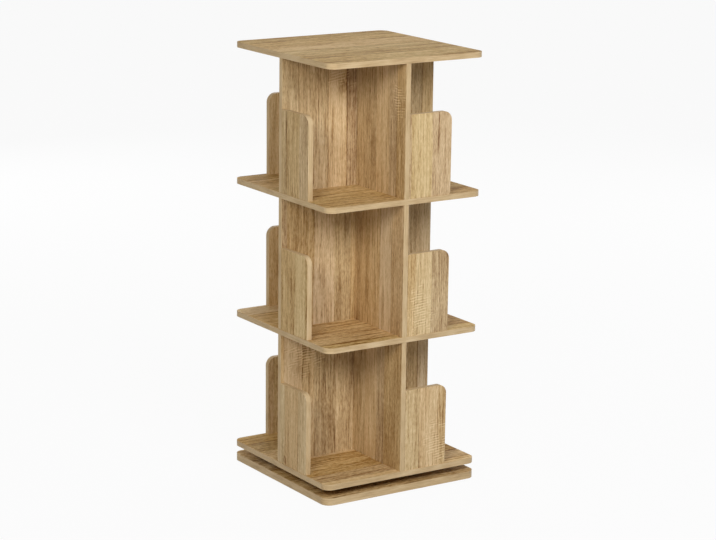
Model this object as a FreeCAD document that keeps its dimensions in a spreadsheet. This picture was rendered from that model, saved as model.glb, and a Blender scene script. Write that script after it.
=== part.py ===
"""A revolving bookcase: a square three-tier case of laminated board that turns on a steel
ball-race swivel above a fixed base board. Millimetres, +Z up, the origin on the floor under
the middle of the base board, the front facing -Y."""
import FreeCAD, Part
import os
import Sketcher
from collections import defaultdict
from FreeCAD import Placement, Rotation, Vector

doc = FreeCAD.newDocument("revolving_bookcase")

# Driving dimensions
driving_sizes = {
    # boards
    "side": 390,
    "corner_radius": 20,
    "shelf_thickness": 12,
    "base_thickness": 16,
    "divider_thickness": 12,
    "divider_height": 288,
    "edge_setback": 1,
    # low boards that keep the books in their bay
    "stop_width": 106,
    "stop_height": 180,
    "stop_thickness": 12,
    "stop_corner_radius": 20,
    "stop_screw_inset": 20,
    "stop_dowel_drop": 50,
    # felt pads
    "pad_diameter": 30,
    "pad_thickness": 2,
    "pad_inset": 45,
    # pressed-steel swivel
    "swivel_height": 18,
    "swivel_diameter": 260,
    "swivel_sheet": 2,
    "swivel_gap": 2,
    "swivel_flange_width": 20,
    "swivel_slope": 6,
    "race_diameter": 180,
    "race_clearance": 0.3,
    "ball_diameter": 6,
    "ball_count": 24,
    "cage_width": 12,
    "cage_thickness": 1.4,
    "cage_clearance": 0.15,
    "rivet_diameter": 12,
    "rivet_head_diameter": 20,
    "rivet_head_height": 1.5,
    "rivet_play": 0.3,
    # pan-head screws of the swivel
    "pan_screw_diameter": 4,
    "pan_screw_bite": 9,
    "pan_screw_tip": 2,
    "pan_head_diameter": 8,
    "pan_head_height": 2.5,
    # countersunk screws driven up through the shelves
    "long_screw_diameter": 4,
    "long_screw_bite": 28,
    "long_screw_tip": 4,
    "long_head_diameter": 8,
    "long_head_height": 2,
    # cross recess in the screw heads
    "recess_width": 1,
    "recess_length": 4,
    "recess_depth": 1.2,
    # dowels
    "dowel_diameter": 6,
    "dowel_bite": 14,
    "dowel_blind_bite": 8,
    "dowel_chamfer": 0.8,
    "dowel_inset": 40,
    "cross_dowel_rise": 70,
    # cam bolts and cam locks
    "fixing_reach": 75,
    "bolt_diameter": 6.6,
    "bolt_neck_diameter": 4,
    "bolt_head_length": 4,
    "bolt_thread_diameter": 5,
    "bolt_thread_length": 8.5,
    "bolt_room": 0.2,
    "cam_diameter": 12,
    "cam_inset": 24,
    "cam_past_bolt": 3.4,
    "cam_slot_width": 1.4,
    "cam_slot_length": 7,
    "cam_slot_depth": 1.2,
    # fits
    "fit": 0.05,
    "end_room": 0.5,
}
sheet = doc.addObject("Spreadsheet::Sheet", "Size")
for row, (alias, value) in enumerate(driving_sizes.items(), start=1):
    sheet.set(f"A{row}", alias)
    sheet.set(f"B{row}", str(value))
    sheet.setAlias(f"B{row}", alias)
doc.recompute()

# The names of the boards, tier by tier and side by side, each side a quarter turn from the last
shelves = ("bottom_shelf", "lower_middle_shelf", "upper_middle_shelf", "top_board")
tiers = ("low", "mid", "high")
sides = ("front", "right", "back", "left")


def divider_on(side, tier):
    """The divider that ends at a side: the long one runs from left to right."""
    return f"long_divider_{tier}" if side in ("left", "right") else f"{side}_divider_{tier}"


def stop_on(side, tier):
    return f"{side}_stop_{tier}"


# Levels and places that follow from the driving dimensions
base_top = "(Size.pad_thickness + Size.base_thickness)"
tier_pitch = "(Size.shelf_thickness + Size.divider_height)"
shelf_level = [f"({base_top} + Size.swivel_height + {n} * {tier_pitch})" for n in range(len(shelves))]
floor_level = [f"({level} + Size.shelf_thickness)" for level in shelf_level]
divider_reach = "(Size.side / 2 - Size.edge_setback)"
half_divider = "(Size.divider_thickness / 2)"
dowel_reach = f"({divider_reach} - Size.dowel_inset)"
stop_middle = f"({divider_reach} - Size.stop_thickness / 2)"
origin = ("0", "0", "0")

# Directions
upright = Rotation()
upside_down = Rotation(Vector(1, 0, 0), 180)
along_x = Rotation(Vector(0, 1, 0), 90)
along_y = Rotation(Vector(1, 0, 0), -90)


def quarter_turn(quarter):
    return Rotation(Vector(0, 0, 1), 90 * quarter)


def turned(quarter, x, y):
    """The place x, y after that many quarter turns about the upright axis."""
    return ((x, y), (f"-({y})", x), (f"-({x})", f"-({y})"), (y, f"-({x})"))[quarter]


# Ways to draw a piece whose sizes and place are tied to the sheet
def bind(item, sizes):
    for name, expression in sizes.items():
        item.setExpression(name, expression)
    return item


def place(item, spot, rotation=upright):
    item.Placement = Placement(Vector(), rotation)
    return bind(item, {f"Placement.Base.{axis}": where for axis, where in zip("xyz", spot)})


def cylinder(name, radius, height, spot=origin, rotation=upright):
    item = doc.addObject("Part::Cylinder", name)
    bind(item, {"Radius": radius, "Height": height})
    return place(item, spot, rotation)


def cone(name, lower_radius, upper_radius, height, spot=origin):
    item = doc.addObject("Part::Cone", name)
    bind(item, {"Radius1": lower_radius, "Radius2": upper_radius, "Height": height})
    return place(item, spot)


def box(name, length, width, height, spot):
    item = doc.addObject("Part::Box", name)
    bind(item, {"Length": length, "Width": width, "Height": height})
    return place(item, spot)


def torus(name, ring_radius, section_radius, spot):
    item = doc.addObject("Part::Torus", name)
    bind(item, {"Radius1": ring_radius, "Radius2": section_radius})
    return place(item, spot)


def fused(name, pieces):
    item = doc.addObject("Part::MultiFuse", name)
    item.Shapes = pieces
    return item


def together(name, pieces):
    """Separate solids kept as one object."""
    item = doc.addObject("Part::Compound", name)
    item.Links = pieces
    return item


def cut(name, piece, cutters):
    item = doc.addObject("Part::Cut", name)
    item.Base = piece
    item.Tool = together(f"{name}_cutters", cutters)
    return item


def copy_at(name, master, spot, rotation=upright):
    """One more of a piece that is already drawn, at its own place."""
    item = doc.addObject("App::Link", name)
    item.LinkedObject = master
    item.LinkTransform = True
    return place(item, spot, rotation)


def new_sketch(body, plane_role):
    sketch = body.newObject("Sketcher::SketchObject", f"{body.Name}_sketch")
    plane = next(feature for feature in body.Origin.OriginFeatures if feature.Role == plane_role)
    sketch.AttachmentSupport = (plane, [""])
    sketch.MapMode = "FlatFace"
    return sketch


def constrain(sketch, name, expression, *constraint):
    index = sketch.addConstraint(Sketcher.Constraint(*constraint))
    sketch.renameConstraint(index, name)
    sketch.setExpression(f"Constraints.{name}", expression)


def rectangle(sketch, width, height):
    """A rectangle drawn from its first corner."""
    corners = [Vector(0, 0), Vector(1, 0), Vector(1, 1), Vector(0, 1)]
    for n in range(4):
        sketch.addGeometry(Part.LineSegment(corners[n], corners[(n + 1) % 4]))
    for n in range(4):
        sketch.addConstraint(Sketcher.Constraint("Coincident", n, 2, (n + 1) % 4, 1))
    for n in (0, 2):
        sketch.addConstraint(Sketcher.Constraint("Horizontal", n))
        sketch.addConstraint(Sketcher.Constraint("Vertical", n + 1))
    constrain(sketch, "width", width, "DistanceX", 0, 1, 0, 2, 1)
    constrain(sketch, "height", height, "DistanceY", 1, 1, 1, 2, 1)


def pad(body, sketch, thickness):
    item = body.newObject("PartDesign::Pad", f"{body.Name}_pad")
    item.Profile = sketch
    bind(item, {"Length": thickness})
    doc.recompute()
    return item


def ease_edges(body, kind, base, wanted, sizes):
    """Fillet or chamfer the edges of the base that the wanted test accepts."""
    item = body.newObject(f"PartDesign::{kind}", f"{body.Name}_{kind}")
    edges = [f"Edge{n}" for n, edge in enumerate(base.Shape.Edges, start=1) if wanted(edge)]
    item.Base = (base, edges)
    bind(item, sizes)
    body.Tip = item


# Boards before they are drilled
def plate_blank(name, thickness, level):
    """A square board with its four upright edges rounded."""
    body = doc.addObject("PartDesign::Body", f"{name}_blank")
    sketch = new_sketch(body, "XY_Plane")
    rectangle(sketch, "Size.side", "Size.side")
    sketch.addConstraint(Sketcher.Constraint("Symmetric", 0, 1, 2, 1, -1, 1))
    board = pad(body, sketch, thickness)
    ease_edges(body, "Fillet", board, lambda edge: edge.BoundBox.ZLength > edge.Length / 2,
               {"Radius": "Size.corner_radius"})
    return place(body, ("0", "0", level))


def divider_blank(name, length, width, corner):
    return box(f"{name}_blank", length, width, "Size.divider_height", corner)


def stop_blank(name, quarter, level):
    """A low board against one side of a divider, its outer top corner rounded."""
    body = doc.addObject("PartDesign::Body", f"{name}_blank")
    sketch = new_sketch(body, "XZ_Plane")
    rectangle(sketch, "Size.stop_width", "Size.stop_height")
    sketch.addConstraint(Sketcher.Constraint("Coincident", 0, 1, -1, 1))
    board = pad(body, sketch, "Size.stop_thickness")
    whole = board.Shape.BoundBox
    tolerance = 0.001

    def is_outer_top(edge):
        reach = edge.BoundBox
        return reach.XMin > whole.XMax - tolerance and reach.ZMin > whole.ZMax - tolerance

    ease_edges(body, "Fillet", board, is_outer_top, {"Radius": "Size.stop_corner_radius"})
    inner_face = f"-({divider_reach} - Size.stop_thickness)"
    return place(body, (*turned(quarter, half_divider, inner_face), level), quarter_turn(quarter))


blanks = {}
base_blank = plate_blank("base_board", "Size.base_thickness", "Size.pad_thickness")
for shelf, level in zip(shelves, shelf_level):
    blanks[shelf] = plate_blank(shelf, "Size.shelf_thickness", level)
for tier, level in zip(tiers, floor_level):
    across = divider_on("left", tier)
    blanks[across] = divider_blank(across, f"2 * {divider_reach}", "Size.divider_thickness",
                                   (f"-{divider_reach}", f"-{half_divider}", level))
    for side, near_edge in (("front", f"-{divider_reach}"), ("back", half_divider)):
        short = divider_on(side, tier)
        blanks[short] = divider_blank(short, "Size.divider_thickness",
                                      f"{divider_reach} - {half_divider}",
                                      (f"-{half_divider}", near_edge, level))
    for quarter, side in enumerate(sides):
        stop = stop_on(side, tier)
        blanks[stop] = stop_blank(stop, quarter, level)


# Fasteners and the bores that they sit in, each drawn once and then set wherever it is used
def dowel(name, length):
    """A wooden peg with chamfered ends, and its bore with room past both ends."""
    body = doc.addObject("PartDesign::Body", name)
    sketch = new_sketch(body, "XY_Plane")
    sketch.addGeometry(Part.Circle(Vector(), Vector(0, 0, 1), 1))
    sketch.addConstraint(Sketcher.Constraint("Coincident", 0, 3, -1, 1))
    constrain(sketch, "diameter", "Size.dowel_diameter", "Diameter", 0, 2)
    peg = pad(body, sketch, length)
    ease_edges(body, "Chamfer", peg, lambda edge: edge.isClosed(), {"Size": "Size.dowel_chamfer"})
    bore = cylinder(f"{name}_bore", "Size.dowel_diameter / 2 + Size.fit",
                    f"{length} + 2 * Size.end_room", ("0", "0", "-Size.end_room"))
    return body, bore


def cross_slot(name, length, width, depth, level):
    """Two crossed grooves that a screwdriver fits."""
    return [box(f"{name}_{way}", along, across, depth, (f"-({along}) / 2", f"-({across}) / 2", level))
            for way, along, across in (("slot", length, width), ("cross_slot", width, length))]


def screw_shank(name, radius, length, tip):
    return [cylinder(f"{name}_shank", radius, f"{length} - {tip}"),
            cone(f"{name}_tip", radius, "0", tip, ("0", "0", f"{length} - {tip}"))]


def long_screw():
    """A countersunk screw that starts flush with the underside of a shelf."""
    length = "(Size.shelf_thickness + Size.long_screw_bite)"
    radius = "Size.long_screw_diameter / 2"
    head_radius = "Size.long_head_diameter / 2"
    head = cone("long_screw_head", head_radius, radius, "Size.long_head_height")
    shank = screw_shank("long_screw", radius, length, "Size.long_screw_tip")
    recess = cross_slot("long_screw", "Size.recess_length", "Size.recess_width", "Size.recess_depth", "0")
    drill = cylinder("long_screw_drill", f"{radius} + Size.fit", f"{length} + Size.end_room")
    sink = cone("long_screw_sink", f"{head_radius} + Size.fit", f"{radius} + Size.fit",
                "Size.long_head_height")
    screw = cut("long_screw", fused("long_screw_body", [head, *shank]), recess)
    return screw, fused("long_screw_bore", [drill, sink])


def pan_screw():
    """A pan-head screw that holds a swivel plate to a board, its head below the origin."""
    length = "(Size.swivel_sheet + Size.pan_screw_bite)"
    radius = "Size.pan_screw_diameter / 2"
    under = "-Size.pan_head_height"
    head = cylinder("pan_screw_head", "Size.pan_head_diameter / 2", "Size.pan_head_height",
                    ("0", "0", under))
    shank = screw_shank("pan_screw", radius, length, "Size.pan_screw_tip")
    recess = cross_slot("pan_screw", "Size.recess_length", "Size.recess_width", "Size.recess_depth", under)
    drill = cylinder("pan_screw_bore", f"{radius} + Size.fit", f"{length} + Size.end_room")
    return cut("pan_screw", fused("pan_screw_body", [head, *shank]), recess), drill


bolt_radius = "Size.bolt_diameter / 2"
bolt_shaft = "(Size.cam_inset - Size.cam_diameter / 2 - Size.end_room)"
bolt_bore_radius = f"{bolt_radius} + Size.bolt_room"


def bolt_head(name, middle):
    return cylinder(name, bolt_radius, "Size.bolt_head_length",
                    ("0", "0", f"{middle} - Size.bolt_head_length / 2"))


def double_bolt():
    """A bolt through a shelf with a head in a cam below and in a cam above."""
    span = "(Size.shelf_thickness + 2 * Size.cam_inset)"
    neck = cylinder("double_bolt_neck", "Size.bolt_neck_diameter / 2", span, ("0", "0", "-Size.cam_inset"))
    shaft = cylinder("double_bolt_shaft", bolt_radius, f"Size.shelf_thickness + 2 * {bolt_shaft}",
                     ("0", "0", f"-{bolt_shaft}"))
    heads = [bolt_head("double_bolt_lower_head", "-Size.cam_inset"),
             bolt_head("double_bolt_upper_head", "Size.shelf_thickness + Size.cam_inset")]
    bore = cylinder("double_bolt_bore", bolt_bore_radius, span, ("0", "0", "-Size.cam_inset"))
    return fused("double_bolt", [neck, shaft, *heads]), bore


def single_bolt():
    """A bolt threaded up into the top board with a head in a cam below."""
    neck = cylinder("single_bolt_neck", "Size.bolt_neck_diameter / 2", "Size.cam_inset",
                    ("0", "0", "-Size.cam_inset"))
    shaft = cylinder("single_bolt_shaft", bolt_radius, bolt_shaft, ("0", "0", f"-{bolt_shaft}"))
    thread = cylinder("single_bolt_thread", "Size.bolt_thread_diameter / 2", "Size.bolt_thread_length")
    drill = cylinder("single_bolt_drill", "Size.bolt_thread_diameter / 2 + Size.fit",
                     "Size.bolt_thread_length + Size.end_room")
    slide = cylinder("single_bolt_slide", bolt_bore_radius, "Size.cam_inset", ("0", "0", "-Size.cam_inset"))
    bolt = fused("single_bolt", [neck, shaft, thread, bolt_head("single_bolt_head", "-Size.cam_inset")])
    return bolt, fused("single_bolt_bore", [drill, slide])


def cam_lock():
    """A cam with its slotted face in the divider's face, round a bolt head that comes along +Y."""
    depth = f"({half_divider} + Size.cam_past_bolt)"
    room = "(Size.bolt_head_length / 2 + Size.bolt_room)"
    drum = cylinder("cam_drum", "Size.cam_diameter / 2", depth, ("0", "0", f"-{depth}"))
    neck_way = cylinder("cam_neck_way", "Size.bolt_neck_diameter / 2 + Size.bolt_room", "Size.cam_diameter",
                        ("0", "0", f"-{half_divider}"), along_y)
    head_way = cylinder("cam_head_way", bolt_bore_radius, f"2 * {room}",
                        ("0", f"-{room}", f"-{half_divider}"), along_y)
    slot = cross_slot("cam", "Size.cam_slot_length", "Size.cam_slot_width", "Size.cam_slot_depth",
                      "-Size.cam_slot_depth")
    pocket_depth = f"({depth} + Size.end_room)"
    pocket = cylinder("cam_pocket", "Size.cam_diameter / 2 + Size.fit", pocket_depth,
                      ("0", "0", f"-{pocket_depth}"))
    return cut("cam_lock", drum, [fused("cam_ways", [neck_way, head_way]), *slot]), pocket


shelf_dowel = dowel("shelf_dowel", "(Size.shelf_thickness + 2 * Size.dowel_bite)")
cross_dowel = dowel("cross_dowel", "(Size.divider_thickness + 2 * Size.dowel_bite)")
blind_dowel = dowel("blind_dowel", "(Size.dowel_blind_bite + Size.dowel_bite)")
shelf_screw = long_screw()
swivel_screw = pan_screw()
through_bolt = double_bolt()
top_bolt = single_bolt()
cam = cam_lock()

groups = defaultdict(list)
bores = defaultdict(list)


def fix(group, fastener, boards, spot, rotation=upright):
    """Set one more fastener of a group and drill the boards that it goes into."""
    master, bore = fastener
    count = len(groups[group])
    groups[group].append(copy_at(f"{group}_{count}", master, spot, rotation))
    drill = copy_at(f"{group}_bore_{count}", bore, spot, rotation)
    for board in boards:
        bores[board].append(drill)


# Cam faces: a long divider's cams show at the back, a short divider's cams on the right
cam_rotation = {
    ("long", "above"): Rotation(Vector(0, 1, 1), 180),
    ("long", "below"): Rotation(Vector(1, 0, 0), -90),
    ("short", "above"): Rotation(Vector(1, 1, 1), 120),
    ("short", "below"): Rotation(Vector(1, 0, 0), 180) * Rotation(Vector(1, 1, 1), 120),
}


def set_cam(board, quarter, bolt_comes_from, level):
    along = turned(quarter, "0", "-Size.fixing_reach")
    if quarter % 2:
        fix("cam_locks", cam, [board], (along[0], half_divider, level),
            cam_rotation["long", bolt_comes_from])
    else:
        fix("cam_locks", cam, [board], (half_divider, along[1], level),
            cam_rotation["short", bolt_comes_from])


# The case: a dowel and a bolt or screw at both ends of every divider edge, and two screws
# and a dowel in every stop
for n, tier in enumerate(tiers):
    floor, ceiling = shelves[n], shelves[n + 1]
    for quarter, side in enumerate(sides):
        divider = divider_on(side, tier)
        stop = stop_on(side, tier)
        bolt_spot = turned(quarter, "0", "-Size.fixing_reach")
        dowel_spot = turned(quarter, "0", f"-{dowel_reach}")
        if n == 0:
            fix("shelf_screws", shelf_screw, [floor, divider], (*bolt_spot, shelf_level[n]))
            fix("blind_dowels", blind_dowel, [floor, divider],
                (*dowel_spot, f"{floor_level[n]} - Size.dowel_blind_bite"))
        else:
            set_cam(divider, quarter, "below", f"{floor_level[n]} + Size.cam_inset")
        set_cam(divider, quarter, "above", f"{shelf_level[n + 1]} - Size.cam_inset")
        if ceiling == "top_board":
            fix("top_cam_bolts", top_bolt, [ceiling, divider], (*bolt_spot, shelf_level[n + 1]))
            fix("blind_dowels", blind_dowel, [ceiling, divider],
                (*dowel_spot, f"{shelf_level[n + 1]} - Size.dowel_bite"))
        else:
            divider_above = divider_on(side, tiers[n + 1])
            fix("through_cam_bolts", through_bolt, [ceiling, divider, divider_above],
                (*bolt_spot, shelf_level[n + 1]))
            fix("shelf_dowels", shelf_dowel, [ceiling, divider, divider_above],
                (*dowel_spot, f"{shelf_level[n + 1]} - Size.dowel_bite"))
        for inset in ("Size.stop_screw_inset", "Size.stop_width - Size.stop_screw_inset"):
            screw_spot = turned(quarter, f"{half_divider} + {inset}", f"-{stop_middle}")
            fix("shelf_screws", shelf_screw, [floor, stop], (*screw_spot, shelf_level[n]))
        peg_spot = turned(quarter, f"{half_divider} - Size.dowel_blind_bite", f"-{stop_middle}")
        fix("blind_dowels", blind_dowel, [divider, stop],
            (*peg_spot, f"{floor_level[n]} + Size.stop_height - Size.stop_dowel_drop"),
            quarter_turn(quarter) * along_x)
    cross_boards = [divider_on(side, tier) for side in ("left", "front", "back")]
    for level in (f"{floor_level[n]} + Size.cross_dowel_rise",
                  f"{shelf_level[n + 1]} - Size.cross_dowel_rise"):
        fix("cross_dowels", cross_dowel, cross_boards,
            ("0", f"-({half_divider} + Size.dowel_bite)", level), along_y)

# The swivel: two like pressings with a ball groove, drawn with the flange at the bottom
plate_rise = "((Size.swivel_height - Size.swivel_gap) / 2)"
swivel_middle = "(Size.swivel_height / 2)"
race_radius = "(Size.race_diameter / 2)"
groove_radius = "(Size.ball_diameter / 2 + Size.race_clearance)"
hat_foot = "(Size.swivel_diameter / 2 - Size.swivel_flange_width)"
hollow_depth = f"({plate_rise} - Size.swivel_sheet)"
hollow_top = f"{hat_foot} - Size.swivel_sheet - Size.swivel_slope * {hollow_depth} / {plate_rise}"
at_middle = ("0", "0", swivel_middle)
flange = cylinder("swivel_flange", "Size.swivel_diameter / 2", "Size.swivel_sheet")
hat = cone("swivel_hat", hat_foot, f"{hat_foot} - Size.swivel_slope", plate_rise)
hollow = cone("swivel_hollow", f"{hat_foot} - Size.swivel_sheet", hollow_top, hollow_depth)
dish = cut("swivel_dish", fused("swivel_disc", [flange, hat]), [hollow])
bead = torus("swivel_bead", race_radius, f"{groove_radius} + Size.swivel_sheet", at_middle)
groove = torus("swivel_groove", race_radius, groove_radius, at_middle)
above_plate = cylinder("above_plate", "Size.swivel_diameter / 2", "Size.swivel_height",
                       ("0", "0", plate_rise))
rivet_hole = cylinder("rivet_hole", "Size.rivet_diameter / 2 + Size.fit", "Size.swivel_height")
flat_bead = cut("swivel_flat_bead", fused("swivel_beaded_dish", [dish, bead]), [above_plate])
pressing = cut("swivel_pressing", cut("swivel_grooved", flat_bead, [groove]), [rivet_hole])
screw_circle_radius = "(Size.swivel_diameter - Size.swivel_flange_width) / 2"
on_diagonal = f"{screw_circle_radius} * cos(45 deg)"
for quarter in range(len(sides)):
    x, y = turned(quarter, on_diagonal, on_diagonal)
    fix("swivel_lower_screws", swivel_screw, ["base_board", "swivel_lower_plate"],
        (x, y, f"{base_top} + Size.swivel_sheet"), upside_down)
    fix("swivel_upper_screws", swivel_screw, ["bottom_shelf", "swivel_upper_plate"],
        (x, y, f"{shelf_level[0]} - Size.swivel_sheet"))
blanks["base_board"] = base_blank
blanks["swivel_lower_plate"] = copy_at("swivel_lower_blank", pressing, ("0", "0", base_top))
blanks["swivel_upper_plate"] = copy_at("swivel_upper_blank", pressing,
                                       ("0", "0", shelf_level[0]), upside_down)

# The rivet: closed tight on the upper plate, free to turn in the lower one
rivet_bottom = f"({hollow_depth} - Size.rivet_play - Size.rivet_head_height)"
rivet_top = f"(Size.swivel_height - {hollow_depth})"
rivet_head_radius = "Size.rivet_head_diameter / 2"
swivel_rivet = fused("swivel_rivet", [
    cylinder("rivet_shank", "Size.rivet_diameter / 2", f"{rivet_top} - {rivet_bottom}",
             ("0", "0", f"{base_top} + {rivet_bottom}")),
    cylinder("rivet_lower_head", rivet_head_radius, "Size.rivet_head_height",
             ("0", "0", f"{base_top} + {rivet_bottom}")),
    cylinder("rivet_upper_head", rivet_head_radius, "Size.rivet_head_height",
             ("0", "0", f"{base_top} + {rivet_top}")),
])

# The ball ring: a flat cage with a pocket for each ball
ball = doc.addObject("Part::Sphere", "ball")
bind(ball, {"Radius": "Size.ball_diameter / 2"})
cage_bottom = f"({base_top} + {swivel_middle} - Size.cage_thickness / 2)"
pocket = cylinder("ball_pocket", "Size.ball_diameter / 2 + Size.cage_clearance", "Size.cage_thickness")
cage_blank = cylinder("cage_blank", f"{race_radius} + Size.cage_width / 2", "Size.cage_thickness",
                      ("0", "0", cage_bottom))
cage_cuts = [cylinder("cage_opening", f"{race_radius} - Size.cage_width / 2", "Size.cage_thickness",
                      ("0", "0", cage_bottom))]
balls = []
ball_count = int(sheet.ball_count)
for n in range(ball_count):
    angle = f"{n} * 360 deg / Size.ball_count"
    spot = (f"{race_radius} * cos({angle})", f"{race_radius} * sin({angle})")
    balls.append(copy_at(f"ball_{n}", ball, (*spot, f"{base_top} + {swivel_middle}")))
    cage_cuts.append(copy_at(f"ball_pocket_{n}", pocket, (*spot, cage_bottom)))

# The felt pads under the corners of the base board
pad_master = cylinder("pad_master", "Size.pad_diameter / 2", "Size.pad_thickness")
pad_place = "(Size.side / 2 - Size.pad_inset)"
pads = [copy_at(f"pad_{quarter}", pad_master, (*turned(quarter, pad_place, pad_place), "0"))
        for quarter in range(len(sides))]

# The finished pieces
pieces = [cut(board, blank, bores[board]) for board, blank in blanks.items()]
pieces += [together(group, fasteners) for group, fasteners in groups.items()]
pieces += [swivel_rivet, cut("ball_cage", cage_blank, cage_cuts), together("swivel_balls", balls),
           together("felt_pads", pads)]
doc.recompute()

for item in doc.Objects:
    if set(item.State) & {"Invalid", "Error"}:
        raise RuntimeError(f"{item.Label} did not recompute: {item.State}")
for piece in pieces:
    if piece.Shape.isNull() or not piece.Shape.isValid():
        raise RuntimeError(f"{piece.Label} has no valid shape")

os.makedirs("parts", exist_ok=True)
for piece in pieces:
    piece.Shape.exportStep(f"parts/{piece.Label}.step")
    print(f"{piece.Label}: {len(piece.Shape.Solids)} solids, {piece.Shape.Volume / 1000:.2f} cm3")
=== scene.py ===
import math
import random

import bmesh
import bpy
from mathutils import Matrix, Vector


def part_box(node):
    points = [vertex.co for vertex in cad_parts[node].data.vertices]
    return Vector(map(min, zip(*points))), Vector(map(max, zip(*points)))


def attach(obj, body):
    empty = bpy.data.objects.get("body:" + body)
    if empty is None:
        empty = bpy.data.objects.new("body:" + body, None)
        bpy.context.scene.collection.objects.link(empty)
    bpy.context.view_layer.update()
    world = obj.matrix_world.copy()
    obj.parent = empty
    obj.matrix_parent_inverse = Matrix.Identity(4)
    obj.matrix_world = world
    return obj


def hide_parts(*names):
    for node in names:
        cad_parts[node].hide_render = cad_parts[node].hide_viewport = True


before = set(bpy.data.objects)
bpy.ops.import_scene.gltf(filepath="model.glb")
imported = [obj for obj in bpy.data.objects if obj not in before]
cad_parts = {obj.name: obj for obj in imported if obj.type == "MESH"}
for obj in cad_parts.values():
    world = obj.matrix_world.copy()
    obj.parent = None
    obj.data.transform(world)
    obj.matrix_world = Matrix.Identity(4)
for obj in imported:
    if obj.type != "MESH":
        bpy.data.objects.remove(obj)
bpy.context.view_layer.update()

# Felt pads: four round discs of pressed wool felt, stuck under the corners of the base board so
# that it slides on a floor without a scratch. They are punched from sheet, so the rim is soft.


def paint(red, green, blue):
    """A colour as a paint chart gives it, 0 to 255, in the values that a shader takes."""
    parts = [part / 255 for part in (red, green, blue)]
    return [part / 12.92 if part < 0.04045 else ((part + 0.055) / 1.055) ** 2.4 for part in parts] + [1]


def add_node(material, kind, inputs=None, **settings):
    """One more shader node, with its settings made and its inputs filled or wired."""
    tree = material.node_tree
    node = tree.nodes.new(kind)
    for name, value in settings.items():
        setattr(node, name, value)
    for name, value in (inputs or {}).items():
        if isinstance(value, bpy.types.NodeSocket):
            tree.links.new(value, node.inputs[name])
        else:
            node.inputs[name].default_value = value
    return node


def new_finish(name):
    """An empty material and its one surface shader."""
    material = bpy.data.materials.new(name)
    material.use_nodes = True
    return material, material.node_tree.nodes["Principled BSDF"]


def wire(material, output, shader, socket):
    """Lead what one node gives to a socket of another."""
    material.node_tree.links.new(output, shader.inputs[socket])


def own_place(material):
    """Where a point lies on its own piece, in metres."""
    return add_node(material, "ShaderNodeTexCoord").outputs["Object"]


def math_node(material, operation, first, second=0.0, third=0.0):
    """One sum, worked out for every point of the surface."""
    node = add_node(material, "ShaderNodeMath", {0: first, 1: second, 2: third}, operation=operation)
    return node.outputs[0]


def grain_noise(material, place, stretch, detail, roughness=0.5, distortion=0.0):
    """Noise over a place in metres, stretched by so many waves per metre each way."""
    stretched = add_node(material, "ShaderNodeVectorMath", {0: place, 1: stretch}, operation="MULTIPLY")
    noise = add_node(material, "ShaderNodeTexNoise",
                     {"Vector": stretched.outputs[0], "Scale": 1.0, "Detail": detail,
                      "Roughness": roughness, "Distortion": distortion})
    return noise.outputs["Fac"]


def spread(material, value, low, high, to_low=0.0, to_high=1.0, smooth=False):
    """A value read between two limits and set between two others."""
    limits = {"From Min": low, "From Max": high, "To Min": to_low, "To Max": to_high}
    node = add_node(material, "ShaderNodeMapRange", {"Value": value, **limits},
                    interpolation_type="SMOOTHSTEP" if smooth else "LINEAR")
    return node.outputs["Result"]


def colour_scale(material, value, stops):
    """Colours met one after another as a value rises."""
    node = add_node(material, "ShaderNodeValToRGB", {"Fac": value})
    ramp = node.color_ramp
    while len(ramp.elements) < len(stops):
        ramp.elements.new(0.5)
    for element, (position, colour) in zip(ramp.elements, stops):
        element.position = position
        element.color = colour
    return node.outputs["Color"]


def stain(material, shader, value, stops):
    """Colour a finish by a value that differs from point to point."""
    wire(material, colour_scale(material, value, stops), shader, "Base Color")


def polish(material, shader, value, limits, roughness):
    """Let a finish go from its smoothest to its roughest as a value rises between two limits."""
    wire(material, spread(material, value, *limits, *roughness), shader, "Roughness")


def dent(material, shader, height, depth):
    """Relief in the surface, so many metres deep where the height goes from 0 to 1."""
    bump = add_node(material, "ShaderNodeBump", {"Height": height, "Strength": 1.0, "Distance": depth})
    wire(material, bump.outputs["Normal"], shader, "Normal")


def lathe(shape, profile, centre, steps):
    """Turn a profile of radius and height round an upright axis, closed at both ends."""
    rings = []
    for radius, height in profile:
        ring = []
        for step in range(steps):
            angle = 2 * math.pi * step / steps
            spot = (centre[0] + radius * math.cos(angle), centre[1] + radius * math.sin(angle), height)
            ring.append(shape.verts.new(spot))
        rings.append(ring)
    for inner, outer in zip(rings, rings[1:]):
        for step in range(steps):
            after = (step + 1) % steps
            shape.faces.new((inner[step], inner[after], outer[after], outer[step]))
    shape.faces.new(rings[0][::-1])
    shape.faces.new(rings[-1])


def to_mesh(name, shape, finishes):
    """Turn a shape under construction into a mesh that carries its finishes."""
    mesh = bpy.data.meshes.new(name)
    shape.to_mesh(mesh)
    shape.free()
    for finish in finishes:
        mesh.materials.append(finish)
    return mesh


def new_piece(name, mesh, body):
    """Make a mesh a piece that moves with a body."""
    mesh.name = name
    piece = bpy.data.objects.new(name, mesh)
    bpy.context.scene.collection.objects.link(piece)
    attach(piece, body)
    return piece


felt, felt_shader = new_finish("wool_felt")
felt_place = own_place(felt)
felt_clumps = grain_noise(felt, felt_place, (260, 260, 260), 3)
felt_fibres = grain_noise(felt, felt_place, (2400, 1500, 2400), 4, 0.7, 1.2)
felt_tone = math_node(felt, "MULTIPLY_ADD", felt_fibres, 0.6, math_node(felt, "MULTIPLY", felt_clumps, 0.5))
stain(felt, felt_shader, felt_tone,
      [(0.3, paint(66, 55, 46)), (0.55, paint(96, 82, 70)), (0.8, paint(138, 122, 106))])
polish(felt, felt_shader, felt_clumps, (0.3, 0.7), (0.9, 1.0))
felt_shader.inputs["Sheen Weight"].default_value = 0.4
dent(felt, felt_shader, felt_fibres, 0.0005)

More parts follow.
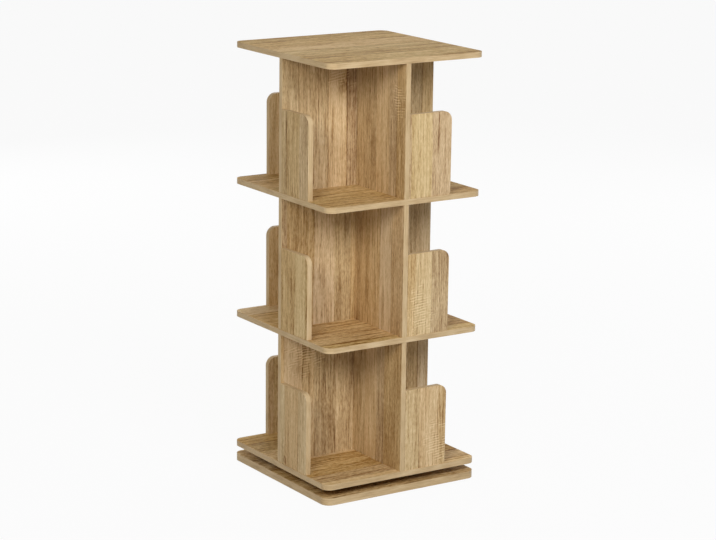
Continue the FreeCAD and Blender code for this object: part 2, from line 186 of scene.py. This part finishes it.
pad_radius = 0.015
pad_inset = 0.045
pad_soft = 0.0006
pad_curl = 0.3 * pad_soft
pad_steps = 48
pad_floor, pad_ceiling = (corner.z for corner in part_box("felt_pads"))
pad_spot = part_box("base_board")[1].x - pad_inset
pad_profile = [(pad_radius - pad_soft, pad_floor), (pad_radius - pad_curl, pad_floor + pad_curl),
               (pad_radius, pad_floor + pad_soft), (pad_radius, pad_ceiling)]
pads = bmesh.new()
for across in (-pad_spot, pad_spot):
    for along in (-pad_spot, pad_spot):
        lathe(pads, pad_profile, (across, along), pad_steps)
bmesh.ops.recalc_face_normals(pads, faces=pads.faces)
felt_discs = new_piece("felt_discs", to_mesh("felt_discs", pads, [felt]), "base")
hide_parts("felt_pads")

# Base board: a square of 16 mm particle board with an oak-look print pressed on both faces and a
# matching band glued round the edge. Its arris is eased by the band trimmer, and it stays on the floor.
arris = 0.0009
arris_steps = 3
corner_steps = 12
bore_steps = 48
sharp_from = math.radians(35)
touching = 1e-6
plate_radius = 0.020
plate_figure = 1.6
FACE, BAND, CORE = 0, 1, 2


def board_layer(material, name):
    """What a board says at each point: its place on the print, or how far a saw patch or knot is."""
    return add_node(material, "ShaderNodeAttribute", attribute_name=name).outputs["Vector"]


def reach_of(material, mark):
    """The distance from the middle of a mark, where 1 is its rim."""
    return add_node(material, "ShaderNodeVectorMath", {0: mark}, operation="LENGTH").outputs["Value"]


def weigh(material, part, weight, onto):
    """Add a pattern to a value, up or down from the pattern's middle tone."""
    return math_node(material, "MULTIPLY_ADD", math_node(material, "SUBTRACT", part, 0.5), weight, onto)


def oak_print(name, strength, warmth):
    """Sawn-oak print: planks side by side, each with its own tone, growth lines, pores and saw marks.
    Strength sets the pattern off from its middle tone, and warmth sets its colours off from grey."""
    planks_per_metre = 19.0
    sway_reach = 0.014
    plank_sheets = 23.0
    saw_pitch, saw_slant, saw_wander = 1080.0, -110.0, 11.0
    ring_pitch, ring_start = 8.0, 2.6
    middle_tone = 0.56
    relief_depth = 0.00012
    oak, shader = new_finish(name)
    place = board_layer(oak, "grain")
    across, along, sheet = add_node(oak, "ShaderNodeSeparateXYZ", {0: place}).outputs[0:3]
    swayed = weigh(oak, grain_noise(oak, place, (6, 2.6, 1), 2), sway_reach, across)
    plank_count = math_node(oak, "MULTIPLY_ADD", swayed, planks_per_metre, sheet)
    planks = add_node(oak, "ShaderNodeTexVoronoi", {"W": plank_count, "Scale": 1.0},
                      voronoi_dimensions="1D")
    plank_edge = add_node(oak, "ShaderNodeTexVoronoi", {"W": plank_count, "Scale": 1.0},
                          voronoi_dimensions="1D", feature="DISTANCE_TO_EDGE").outputs["Distance"]
    joint_shows = spread(oak, grain_noise(oak, place, (11, 3.0, 1), 2), 0.47, 0.60, smooth=True)
    joint = math_node(oak, "MULTIPLY", spread(oak, plank_edge, 0.055, 0.0, smooth=True), joint_shows)
    tone, shift, ripeness = add_node(oak, "ShaderNodeSeparateColor",
                                     {0: planks.outputs["Color"]}).outputs[0:3]
    own_sheet = math_node(oak, "MULTIPLY_ADD", shift, plank_sheets, sheet)
    inside = add_node(oak, "ShaderNodeCombineXYZ", {0: swayed, 1: along, 2: own_sheet}).outputs[0]
    # growth lines, broad to fine, with a few thin dark ones and short open pores
    cloud = grain_noise(oak, inside, (26, 3.4, 1), 2)
    lines = grain_noise(oak, inside, (150, 4.5, 1), 3, 0.55, 0.5)
    streaks = grain_noise(oak, inside, (340, 11.0, 1), 3, 0.7, 0.2)
    fine = grain_noise(oak, inside, (480, 90.0, 1), 3, 0.65)
    dark = spread(oak, grain_noise(oak, inside, (120, 3.6, 1), 3, 0.6, 0.8), 0.62, 0.72, smooth=True)
    pores = spread(oak, grain_noise(oak, inside, (640, 60.0, 1), 2), 0.52, 0.74, smooth=True)
    # saw marks run across the grain in the patch that a board carries, broken and a little wavy
    patch_field = weigh(oak, grain_noise(oak, inside, (55, 70, 1), 2), 3.4,
                        reach_of(oak, board_layer(oak, "saw_patch")))
    sawn = spread(oak, patch_field, 1.0, 0.2, smooth=True)
    slant = math_node(oak, "MULTIPLY_ADD", across, saw_slant, math_node(oak, "MULTIPLY", along, saw_pitch))
    phase = math_node(oak, "MULTIPLY_ADD", grain_noise(oak, inside, (22, 14, 1), 2), saw_wander, slant)
    ridge = spread(oak, math_node(oak, "SINE", phase), -0.2, 1.0, -0.25, 1.0, smooth=True)
    marks = math_node(oak, "MULTIPLY", ridge, sawn)
    # a knot turns the growth lines round it in rings
    knot_field = weigh(oak, grain_noise(oak, place, (70, 24, 1), 3, 0.6), 1.8,
                       reach_of(oak, board_layer(oak, "knot")))
    rings = math_node(oak, "SINE", math_node(oak, "MULTIPLY_ADD", knot_field, ring_pitch, ring_start))
    knotty = math_node(oak, "MULTIPLY", math_node(oak, "MULTIPLY_ADD", rings, 0.4, -0.5),
                       spread(oak, knot_field, 1.25, 0.4, smooth=True))
    # everything together, from 0 for the darkest wood to 1 for the palest
    value = middle_tone
    for part, weight in ((tone, 0.24), (cloud, 0.38), (lines, 0.50), (streaks, 1.05), (fine, 0.80)):
        value = weigh(oak, part, weight, value)
    for part, weight in ((marks, 0.30), (dark, -0.26), (pores, -0.16), (knotty, 0.34), (joint, -0.26)):
        value = math_node(oak, "MULTIPLY_ADD", part, weight, value)
    value = weigh(oak, value, strength, 0.5)
    colour = colour_scale(oak, value, [(0.0, paint(112, 78, 46)), (0.28, paint(164, 132, 90)),
                                       (0.55, paint(201, 173, 129)), (0.9, paint(226, 203, 162))])
    hue = spread(oak, ripeness, 0.0, 1.0, 0.496, 0.504)
    saturation = spread(oak, shift, 0.0, 1.0, 0.96 * warmth, 1.10 * warmth)
    toned = add_node(oak, "ShaderNodeHueSaturation",
                     {"Hue": hue, "Saturation": saturation, "Color": colour})
    wire(oak, toned.outputs["Color"], shader, "Base Color")
    wire(oak, math_node(oak, "MULTIPLY_ADD", fine, 0.25, 0.50), shader, "Roughness")
    shader.inputs["Specular IOR Level"].default_value = 0.18
    relief = math_node(oak, "MULTIPLY_ADD", pores, -0.6, math_node(oak, "MULTIPLY", fine, 0.5))
    dent(oak, shader, math_node(oak, "MULTIPLY_ADD", marks, 0.5, relief), relief_depth)
    return oak


def oak_band():
    """Edge band: a thin printed strip with fine grain along its run."""
    band, shader = new_finish("oak_edge_band")
    place = board_layer(band, "grain")
    cloud = grain_noise(band, place, (60, 20, 1), 2)
    lines = grain_noise(band, place, (900, 16, 1), 3, 0.6)
    fine = grain_noise(band, place, (2600, 60, 1), 2)
    value = 0.51
    for part, weight in ((lines, 0.95), (cloud, 0.75), (fine, 0.55)):
        value = weigh(band, part, weight, value)
    stain(band, shader, value,
          [(0.1, paint(158, 129, 89)), (0.5, paint(198, 171, 128)), (0.9, paint(217, 194, 154))])
    wire(band, math_node(band, "MULTIPLY_ADD", lines, 0.2, 0.34), shader, "Roughness")
    shader.inputs["Specular IOR Level"].default_value = 0.25
    dent(band, shader, lines, 0.00006)
    return band


def chip_core():
    """Raw particle board where an edge or a bore is not covered: pressed chips in pale glue."""
    chips_per_metre = 420.0
    core, shader = new_finish("particle_board_core")
    chips = add_node(core, "ShaderNodeTexVoronoi", {"Vector": own_place(core), "Scale": chips_per_metre})
    chip_tone = add_node(core, "ShaderNodeSeparateColor", {0: chips.outputs["Color"]}).outputs[0]
    stain(core, shader, chip_tone,
          [(0.0, paint(150, 117, 80)), (0.5, paint(186, 154, 112)), (1.0, paint(212, 187, 148))])
    polish(core, shader, chip_tone, (0.0, 1.0), (0.8, 0.95))
    dent(core, shader, chips.outputs["Distance"], 0.0003)
    return core


oak_finishes = [oak_print("sawn_oak_print", strength=1.12, warmth=1.0), oak_band(), chip_core()]
bold_finishes = [oak_print("bold_oak_print", strength=1.4, warmth=1.09), *oak_finishes[1:]]


def board_outline(width, height, radii):
    """The board's outline from its lower left corner, each corner rounded by its own radius."""
    points = []
    corners = ((0, 0, 180), (width, 0, 270), (width, height, 0), (0, height, 90))
    for (x, y, start), radius in zip(corners, radii):
        if not radius:
            points.append(Vector((x, y)))
            continue
        middle = Vector((x + radius if x == 0 else x - radius, y + radius if y == 0 else y - radius))
        for step in range(corner_steps + 1):
            angle = math.radians(start + 90 * step / corner_steps)
            points.append(middle + radius * Vector((math.cos(angle), math.sin(angle))))
    return points


def cut_board(node, size, outline, raw, finishes):
    """A board lying flat, with bare chips on its raw sides and a band with eased arrises on the others."""
    width, height, depth = size
    shape = bmesh.new()
    lower = [shape.verts.new((*point, 0)) for point in outline]
    upper = [shape.verts.new((*point, depth)) for point in outline]
    shape.faces.new(lower[::-1])
    shape.faces.new(upper)
    eased = []
    for n, point in enumerate(outline):
        after = (n + 1) % len(outline)
        middle = (point + outline[after]) / 2
        near = {"left": middle.x, "right": width - middle.x, "bottom": middle.y, "top": height - middle.y}
        side = shape.faces.new((lower[n], lower[after], upper[after], upper[n]))
        if any(near[edge] < touching for edge in raw):
            side.material_index = CORE
        else:
            side.material_index = BAND
            eased += [shape.edges.get((lower[n], lower[after])), shape.edges.get((upper[n], upper[after]))]
    bmesh.ops.bevel(shape, geom=eased, offset=arris, offset_type="OFFSET", segments=arris_steps,
                    profile=0.5, affect="EDGES", material=BAND, clamp_overlap=True)
    return to_mesh(node, shape, finishes)


def drill(mesh, bores, finishes):
    """Take round bores out of a board: each has a spot, a direction, a depth and two radii."""
    clear = 0.001
    tool = bmesh.new()
    for spot, inward, depth, mouth, end in bores:
        turn = Vector((0, 0, 1)).rotation_difference(Vector(inward)).to_matrix().to_4x4()
        slope = (mouth - end) / depth
        wide = mouth + slope * clear
        middle = Vector(spot) + Vector(inward) * (depth - clear) / 2
        bmesh.ops.create_cone(tool, cap_ends=True, segments=bore_steps, radius1=wide, radius2=end,
                              depth=depth + clear, matrix=Matrix.Translation(middle) @ turn)
    for face in tool.faces:
        face.material_index = CORE
    bit = bpy.data.objects.new("drill", to_mesh("drill", tool, finishes))
    blank = bpy.data.objects.new("blank", mesh)
    for item in (bit, blank):
        bpy.context.scene.collection.objects.link(item)
    cut = blank.modifiers.new("cut", "BOOLEAN")
    cut.operation = "DIFFERENCE"
    cut.solver = "EXACT"
    cut.object = bit
    done = bpy.data.meshes.new_from_object(blank.evaluated_get(bpy.context.evaluated_depsgraph_get()))
    for item in (bit, blank):
        old = item.data
        bpy.data.objects.remove(item)
        bpy.data.meshes.remove(old)
    return done


def run_along(point, outline):
    """How far along the outline a point near it lies, and how long the outline is."""
    best, found, run = math.inf, 0.0, 0.0
    for here, there in zip(outline, outline[1:] + outline[:1]):
        step = there - here
        share = max(0.0, min(1.0, (point - here).dot(step) / step.length_squared))
        gap = (here + share * step - point).length
        if gap < best:
            best, found = gap, run + share * step.length
        run += step.length
    return found, run


def band_places(spots, outline):
    """Across and along the band for the corners of one face, counted on past the seam of the band."""
    runs = [run_along(spot.xy, outline)[0] for spot in spots]
    whole = run_along(spots[0].xy, outline)[1]
    over_seam = max(runs) > whole / 2
    return [(spot.z, run + whole if over_seam and run < whole / 4 else run)
            for spot, run in zip(spots, runs)]


print_sheets = 60
sheet_reach = 2
back_shift = 0.7
far_off = 9.0
no_mark = (far_off, far_off, 0.01, 0.02)


def mark_reach(spot, mark, on_back):
    """How far a spot is from a mark, in half widths and half heights of it, and far off on the back."""
    x, y, half_width, half_height = mark
    return [(spot.x - x) / half_width, (spot.y - y) / half_height, far_off if on_back else 0.0]


def lay_print(mesh, outline, cut_from, grain_up, figure, saw_patch, knot):
    """Draw a board's sheet of print and where on it the board is cut, and note both for every corner."""
    draw = random.Random(cut_from)
    sheet = draw.uniform(0, print_sheets)
    start = (draw.uniform(0, sheet_reach), draw.uniform(0, sheet_reach))
    layers = {"grain": [], "saw_patch": [], "knot": []}
    for face in mesh.polygons:
        on_back = face.material_index == FACE and face.normal.z < 0
        shift = back_shift if on_back else 0.0
        spots = [mesh.vertices[vertex].co for vertex in face.vertices]
        if face.material_index == BAND:
            places = band_places(spots, outline)
        elif grain_up:
            places = [(spot.x / figure, spot.y) for spot in spots]
        else:
            places = [(spot.y / figure, spot.x) for spot in spots]
        for spot, (over, up) in zip(spots, places):
            layers["grain"] += [over + start[0] + shift, up + start[1], sheet]
            layers["saw_patch"] += mark_reach(spot, saw_patch, on_back)
            layers["knot"] += mark_reach(spot, knot, on_back)
    for name, values in layers.items():
        mesh.attributes.new(name, "FLOAT_VECTOR", "CORNER").data.foreach_set("vector", values)


def oak_board(node, body, size, place, radii=(0, 0, 0, 0), raw=(), grain_up=True, bores=(),
              figure=1.0, cut_from=None, saw_patch=no_mark, knot=no_mark, finishes=oak_finishes):
    """A board made flat from its lower left corner, cut, drilled and printed, then set in place."""
    outline = board_outline(size[0], size[1], radii)
    mesh = cut_board(node, size, outline, raw, finishes)
    if bores:
        mesh = drill(mesh, bores, finishes)
    lay_print(mesh, outline, cut_from or node, grain_up, figure, saw_patch, knot)
    mesh.transform(place)
    mesh.shade_smooth()
    mesh.set_sharp_from_angle(angle=sharp_from)
    panel = new_piece(f"{node}_panel", mesh, body)
    panel.modifiers.new("flat_faces", "WEIGHTED_NORMAL").keep_sharp = True
    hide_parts(node)


def plate(node, body, bores=(), cut_from=None):
    """A square board lying flat in the bolder print, its grain from left to right."""
    low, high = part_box(node)
    oak_board(node, body, high - low, Matrix.Translation(low), radii=(plate_radius,) * 4, grain_up=False,
              bores=bores, figure=plate_figure, cut_from=cut_from, finishes=bold_finishes)


# The base board is cut from sheet top_79, whose planks and band come out darker than the shelves'; this
# darker tone is painted shade, standing in for the shade that falls on the base in the gap under the bottom
# shelf.
plate("base_board", "base", cut_from="top_79")

# Swivel, lower half: a round pressing of 2 mm steel sheet with a ball groove, zinc plated, held to
# the base board by four pan-head screws through its flange.


def zinc_plate(name, shade):
    """Bright zinc on steel: pale grey with faint spangle and a slight warm tint of the passivation."""
    zinc, shader = new_finish(name)
    place = own_place(zinc)
    spangle = grain_noise(zinc, place, (95, 95, 95), 3, 0.6)
    scuff = grain_noise(zinc, place, (1400, 1400, 400), 3, 0.6)
    low = [part * shade for part in paint(150, 152, 156)[:3]] + [1]
    high = [part * shade for part in paint(206, 205, 199)[:3]] + [1]
    stain(zinc, shader, spangle, [(0.3, low), (0.7, high)])
    shader.inputs["Metallic"].default_value = 1.0
    polish(zinc, shader, scuff, (0.3, 0.7), (0.28, 0.48))
    dent(zinc, shader, scuff, 0.00002)
    return zinc


def dress(node, finish):
    """Give a drawn piece that shows as it is its own finish."""
    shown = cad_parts[node].data.materials
    shown.clear()
    shown.append(finish)


swivel_zinc = zinc_plate("swivel_zinc", shade=0.95)
screw_zinc = zinc_plate("screw_zinc", shade=0.85)
dress("swivel_lower_plate", swivel_zinc)
dress("swivel_lower_screws", screw_zinc)

# Ball ring: a flat moulded nylon cage that keeps twenty-four hardened steel balls apart in the groove.
# It floats between the two pressings and follows the case at half its speed.
nylon, nylon_shader = new_finish("cage_nylon")
nylon_flow = grain_noise(nylon, own_place(nylon), (60, 60, 60), 3)
stain(nylon, nylon_shader, nylon_flow, [(0.3, paint(206, 202, 188)), (0.7, paint(228, 225, 214))])
polish(nylon, nylon_shader, nylon_flow, (0.3, 0.7), (0.38, 0.5))
nylon_shader.inputs["Subsurface Weight"].default_value = 0.05
dent(nylon, nylon_shader, nylon_flow, 0.00004)
dress("ball_cage", nylon)

ball_steel, ball_shader = new_finish("ball_steel")
ball_grease = grain_noise(ball_steel, own_place(ball_steel), (300, 300, 300), 2)
stain(ball_steel, ball_shader, ball_grease, [(0.3, paint(196, 196, 196)), (0.7, paint(224, 224, 226))])
ball_shader.inputs["Metallic"].default_value = 1.0
polish(ball_steel, ball_shader, ball_grease, (0.4, 0.7), (0.06, 0.2))
dress("swivel_balls", ball_steel)

# Swivel, upper half: the same pressing turned over and screwed under the bottom shelf. The hollow
# rivet in the middle is closed tight on it and turns in the lower pressing.
dress("swivel_upper_plate", swivel_zinc)
dress("swivel_upper_screws", screw_zinc)
dress("swivel_rivet", screw_zinc)

# Bottom shelf: 12 mm particle board, printed and banded like the base board. Screws come up through
# it into the lowest dividers and book stops, their heads sunk flush with its underside.
sink_mouth = 0.00405
sink_end = 0.00205
sink_depth = 0.002
fixing_reach = 0.075
stop_middle = 0.188
stop_screws = (0.026, 0.092)


def quarter_turns(x, y):
    """The four places of a spot that is the same on all sides of the case."""
    return ((x, y), (-y, x), (-x, -y), (y, -x))


def shelf_sinks(node, places):
    """Countersinks in the underside of a shelf, given by their places on the floor plan."""
    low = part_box(node)[0]
    return [((x - low.x, y - low.y, 0), (0, 0, 1), sink_depth, sink_mouth, sink_end) for x, y in places]


stop_screw_places = [spot for x in stop_screws for spot in quarter_turns(x, -stop_middle)]
divider_screw_places = list(quarter_turns(0, -fixing_reach))
plate("bottom_shelf", "carousel", shelf_sinks("bottom_shelf", stop_screw_places + divider_screw_places),
      cut_from="top_162")

# Dividers: three upright 12 mm boards in each tier make a cross, one long one from left to right and
# two short ones that butt against it on dowels. Their outer ends are banded; cams sit in their faces.
tiers = ("low", "mid", "high")
cam_bore = 0.00605
cam_depth = 0.0099
cam_inset = 0.024
from_front = Matrix(((1, 0, 0, 0), (0, 0, -1, 0), (0, 1, 0, 0), (0, 0, 0, 1)))
from_left = Matrix(((0, 0, -1, 0), (-1, 0, 0, 0), (0, 1, 0, 0), (0, 0, 0, 1)))
divider_marks = {
    "long_divider_low": {"saw_patch": (0.058, 0.240, 0.050, 0.050)},
    "long_divider_mid": {"saw_patch": (0.290, 0.090, 0.040, 0.060)},
    "long_divider_high": {"saw_patch": (0.144, 0.232, 0.034, 0.020), "knot": (0.160, 0.215, 0.022, 0.026)},
    "front_divider_high": {"saw_patch": (0.160, 0.205, 0.024, 0.040)},
    "back_divider_mid": {"saw_patch": (0.110, 0.150, 0.045, 0.060), "knot": (0.060, 0.240, 0.010, 0.022)},
    "back_divider_low": {"saw_patch": (0.060, 0.060, 0.035, 0.040)},
}


def cam_bores(spots):
    """Pockets for the cam locks in the back of a divider."""
    return [((x, y, 0), (0, 0, 1), cam_depth, cam_bore, cam_bore) for x, y in spots]


for tier in tiers:
    node = f"long_divider_{tier}"
    low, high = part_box(node)
    size = (high.x - low.x, high.z - low.z, high.y - low.y)
    levels = [size[1] - cam_inset] + ([] if tier == "low" else [cam_inset])
    spots = [(x - low.x, level) for x in (-fixing_reach, fixing_reach) for level in levels]
    oak_board(node, "carousel", size, Matrix.Translation((low.x, high.y, low.z)) @ from_front,
              raw=("top", "bottom"), bores=cam_bores(spots), **divider_marks.get(node, {}))
    for side, butt, reach in (("front", "left", -fixing_reach), ("back", "right", fixing_reach)):
        node = f"{side}_divider_{tier}"
        low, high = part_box(node)
        size = (high.y - low.y, high.z - low.z, high.x - low.x)
        spots = [(high.y - reach, level) for level in levels]
        oak_board(node, "carousel", size, Matrix.Translation((high.x, high.y, low.z)) @ from_left,
                  raw=("top", "bottom", butt), bores=cam_bores(spots), **divider_marks.get(node, {}))

# Book stops: low boards set flush with the divider ends, one on each side of every tier, so that books
# can't slide out. The outer top corner is rounded; two screws from below and a dowel hold each.
stop_radius = 0.020
stop_marks = {
    "front_stop_low": {"cut_from": "stop_278", "saw_patch": (0.084, 0.048, 0.030, 0.050)},
    "front_stop_mid": {"cut_from": "stop_398", "saw_patch": (0.034, 0.050, 0.032, 0.060)},
    "front_stop_high": {"cut_from": "stop_367"},
    "left_stop_low": {"cut_from": "stop_383", "knot": (0.018, 0.012, 0.012, 0.024)},
    "left_stop_mid": {"cut_from": "stop_441", "finishes": bold_finishes},
    "left_stop_high": {"cut_from": "stop_72"},
    "right_stop_mid": {"saw_patch": (0.050, 0.110, 0.030, 0.045)},
    "right_stop_high": {"knot": (0.080, 0.060, 0.009, 0.020)},
    "back_stop_low": {"saw_patch": (0.040, 0.060, 0.030, 0.040)},
    "back_stop_high": {"saw_patch": (0.070, 0.120, 0.028, 0.040)},
}
for tier in tiers:
    low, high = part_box(f"front_stop_{tier}")
    size = (high.x - low.x, high.z - low.z, high.y - low.y)
    front_place = Matrix.Translation((low.x, high.y, low.z)) @ from_front
    for quarter, side in enumerate(("front", "right", "back", "left")):
        node = f"{side}_stop_{tier}"
        turn = Matrix.Rotation(math.radians(90 * quarter), 4, "Z")
        oak_board(node, "carousel", size, turn @ front_place, radii=(0, 0, stop_radius, 0),
                  raw=("bottom", "left"), **stop_marks.get(node, {}))

# Middle shelves: two boards like the bottom shelf that carry the upper tiers. Cam bolts and dowels go
# through them, and the screws of the book stops above come up from their undersides.
for node, print_sheet in (("lower_middle_shelf", "top_186"), ("upper_middle_shelf", "top_109")):
    plate(node, "carousel", shelf_sinks(node, stop_screw_places), cut_from=print_sheet)

# Top board: the same square of board with nothing through its upper face. Cam bolts threaded into its
# underside pull it down on the dividers.
plate("top_board", "carousel", cut_from="top_49")

# Dowels: turned beech pegs with chamfered ends, glued across the joints. They are out of sight once
# the case is together.
beech, beech_shader = new_finish("beech")
beech_place = own_place(beech)
beech_lines = grain_noise(beech, beech_place, (900, 900, 60), 3)
beech_flecks = spread(beech, grain_noise(beech, beech_place, (1600, 1600, 240), 2), 0.58, 0.7, smooth=True)
beech_tone = math_node(beech, "MULTIPLY_ADD", beech_flecks, -0.3, beech_lines)
stain(beech, beech_shader, beech_tone, [(0.2, paint(176, 132, 88)), (0.6, paint(214, 176, 132))])
polish(beech, beech_shader, beech_lines, (0.3, 0.7), (0.5, 0.65))
dent(beech, beech_shader, beech_lines, 0.00008)
for node in ("shelf_dowels", "cross_dowels", "blind_dowels"):
    dress(node, beech)

# Screws, cam bolts and cam locks: zinc-plated steel screws and bolts, and die-cast cams whose slotted
# faces lie flush in the backs of the long dividers and in the right faces of the short ones.
for node in ("shelf_screws", "through_cam_bolts", "top_cam_bolts"):
    dress(node, screw_zinc)

cast_zinc, cast_shader = new_finish("die_cast_zinc")
cast_place = own_place(cast_zinc)
cast_flow = grain_noise(cast_zinc, cast_place, (240, 240, 240), 3)
cast_pits = grain_noise(cast_zinc, cast_place, (2200, 2200, 2200), 2)
stain(cast_zinc, cast_shader, cast_flow, [(0.3, paint(128, 128, 130)), (0.7, paint(172, 172, 174))])
cast_shader.inputs["Metallic"].default_value = 0.9
polish(cast_zinc, cast_shader, cast_pits, (0.3, 0.7), (0.4, 0.6))
dent(cast_zinc, cast_shader, cast_pits, 0.00005)
dress("cam_locks", cast_zinc)

# Floor: a plain pale studio floor that goes on into a white room. It takes the shadow of the bookcase
# and sends soft light back up under the shelves.
floor_reach = 30.0
floor_grey = (0.62, 0.62, 0.62, 1)
floor_whiteness = 0.94
white = (1, 1, 1, 1)


def white_where_seen(owner, lit, shown, share, end):
    """Let light fall on one shader while the lens, also by way of shine or glass, sees mostly white."""
    rays = add_node(owner, "ShaderNodeLightPath").outputs
    by_way = math_node(owner, "MAXIMUM", rays["Is Glossy Ray"], rays["Is Transmission Ray"])
    seen = math_node(owner, "MAXIMUM", rays["Is Camera Ray"], by_way)
    mix = add_node(owner, "ShaderNodeMixShader",
                   {0: math_node(owner, "MULTIPLY", seen, share), 1: lit.outputs[0], 2: shown.outputs[0]})
    wire(owner, mix.outputs[0], add_node(owner, end), "Surface")


floor_mesh = bpy.data.meshes.new("studio_floor")
floor_corners = [(x * floor_reach, y * floor_reach, 0) for x, y in ((-1, -1), (1, -1), (1, 1), (-1, 1))]
floor_mesh.from_pydata(floor_corners, [], [(0, 1, 2, 3)])
studio_floor = bpy.data.objects.new("studio_floor", floor_mesh)
bpy.context.scene.collection.objects.link(studio_floor)
floor_paint = bpy.data.materials.new("floor_paint")
floor_paint.use_nodes = True
floor_paint.node_tree.nodes.clear()
floor_matt = add_node(floor_paint, "ShaderNodeBsdfDiffuse", {"Color": floor_grey})
floor_shown = add_node(floor_paint, "ShaderNodeEmission", {"Color": white, "Strength": 1.0})
white_where_seen(floor_paint, floor_matt, floor_shown, floor_whiteness, "ShaderNodeOutputMaterial")
floor_mesh.materials.append(floor_paint)

# Studio light: a white room that lights everything evenly, a large soft box high in front of the case,
# one on the left past the camera that reaches into the left bays, and two for the right side and the
# back. None of them shows as a bright patch on the boards.
room_light = 0.18
room = bpy.data.worlds.new("white_room")
bpy.context.scene.world = room
room.use_nodes = True
room.node_tree.nodes.clear()
room_lit = add_node(room, "ShaderNodeBackground", {"Color": white, "Strength": room_light})
room_shown = add_node(room, "ShaderNodeBackground", {"Color": white, "Strength": 1.0})
white_where_seen(room, room_lit, room_shown, 1.0, "ShaderNodeOutputWorld")


def soft_box(name, spot, size, power, tint=(1, 1, 1)):
    """A lamp behind white cloth, turned to the middle of the case and kept out of its reflections."""
    lamp = bpy.data.lights.new(name, "AREA")
    lamp.shape = "RECTANGLE"
    lamp.size, lamp.size_y = size
    lamp.energy = power
    lamp.color = tint
    stand = bpy.data.objects.new(name, lamp)
    stand.location = spot
    stand.rotation_euler = (case_middle - Vector(spot)).to_track_quat("-Z", "Y").to_euler()
    stand.visible_glossy = False
    bpy.context.scene.collection.objects.link(stand)


case_middle = Vector((0, 0, 0.47))
soft_box("high_soft_box", (-0.3, -3.5, 2.6), size=(1.6, 1.4), power=83, tint=(0.97, 1.0, 1.10))
soft_box("left_soft_box", (-2.9, -2.4, 2.3), size=(1.2, 1.2), power=64, tint=(1.03, 0.99, 0.92))
soft_box("right_soft_box", (3.6, 1.3, 1.5), size=(1.6, 1.4), power=50)
soft_box("back_soft_box", (0.5, 3.8, 1.5), size=(1.6, 1.4), power=50)

# Camera: a long lens in front of the case and to its left, a little above the top board and tilted
# down. Its place and angles follow from the edges of the square boards as the photograph shows them.
frame_pixels = 716
focal_pixels = 2364.36
yaw, pitch, roll = (math.radians(angle) for angle in (33.2192, -13.3522, 0.7218))
camera_spot = Vector((-2.75458, -4.21615, 1.65086))
ahead = Vector((math.sin(yaw) * math.cos(pitch), math.cos(yaw) * math.cos(pitch), math.sin(pitch)))
level_right = Vector((math.cos(yaw), -math.sin(yaw), 0))
level_up = level_right.cross(ahead)
right = math.cos(roll) * level_right + math.sin(roll) * level_up
up = math.cos(roll) * level_up - math.sin(roll) * level_right
camera_lens = bpy.data.cameras.new("studio_camera")
camera_lens.sensor_width = 36.0
camera_lens.lens = camera_lens.sensor_width * focal_pixels / frame_pixels
camera_lens.clip_end = 200
camera = bpy.data.objects.new("studio_camera", camera_lens)
axes = Matrix((right, up, -ahead)).transposed().to_4x4()
camera.matrix_world = Matrix.Translation(camera_spot) @ axes
bpy.context.scene.collection.objects.link(camera)
bpy.context.scene.camera = camera
bpy.context.scene.view_settings.view_transform = "Standard"
